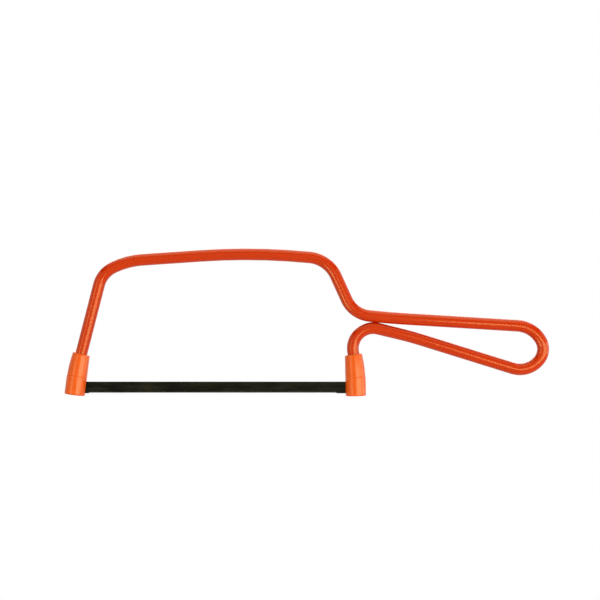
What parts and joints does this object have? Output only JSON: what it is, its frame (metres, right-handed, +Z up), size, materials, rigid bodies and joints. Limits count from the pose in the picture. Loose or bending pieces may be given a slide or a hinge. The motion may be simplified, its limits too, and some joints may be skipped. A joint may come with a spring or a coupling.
{
  "type": "hacksaw",
  "caption": "Small junior hacksaw: a bent steel rod forms the bow and looped handle, with moulded end caps and a pin-end blade held in tension.",
  "frame": {"origin": "centre of the saw's outline seen from above, on the plane that both end caps stand on", "axes": "+X towards the handle along the blade, +Y across the saw, +Z up from the teeth to the top of the bow; the blade and the rod's centreline lie in the XZ plane"},
  "size_m": [0.2508, 0.0106, 0.0764],
  "materials": {
    "orange_coat": "gloss baked enamel on steel rod",
    "orange_cap": "moulded, semi-gloss",
    "black_blade": "dark satin lacquer on hardened steel",
    "pin_steel": "plain turned steel"
  },
  "bodies": {
    "frame": {"frame_rod": "orange_coat", "front_cap": "orange_cap", "rear_cap": "orange_cap"},
    "blade_set": {"blade": "black_blade", "front_pin": "pin_steel", "rear_pin": "pin_steel"}
  },
  "joints": [
    {"name": "blade_release", "type": "slide", "parent": "frame", "child": "blade_set", "axis": [0, 0, -1], "range_m": [0, 0.015]}
  ]
}
